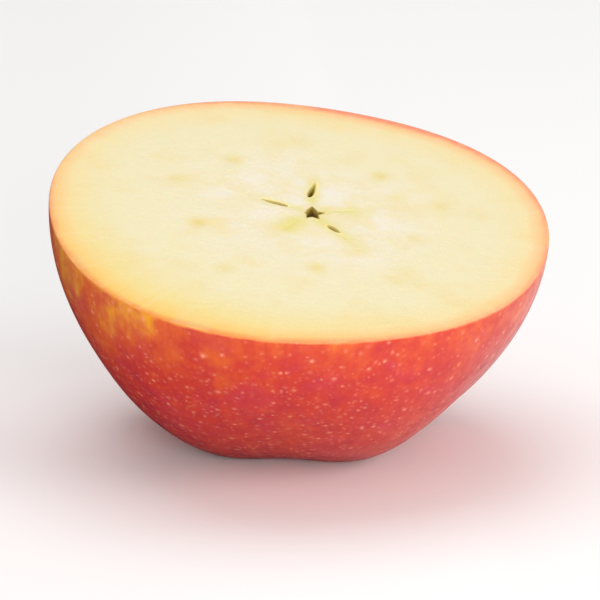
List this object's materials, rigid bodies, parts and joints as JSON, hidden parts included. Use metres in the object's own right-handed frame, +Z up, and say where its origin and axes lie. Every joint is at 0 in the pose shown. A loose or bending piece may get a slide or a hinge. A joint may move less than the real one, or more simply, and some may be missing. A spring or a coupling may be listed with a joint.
{
  "type": "apple half",
  "caption": "Half of a round apple, cut straight across the core, resting on its blossom end with the cut face up and leaning to the front.",
  "frame": {"origin": "on the surface the half rests on, below the middle of its box", "axes": "+Z up, +X to the right and -Y to the front, towards which the cut face leans"},
  "size_m": [0.077, 0.0766, 0.0469],
  "materials": {
    "apple": "waxy half gloss"
  },
  "bodies": {
    "root": {"apple_half": "apple"}
  },
  "joints": []
}
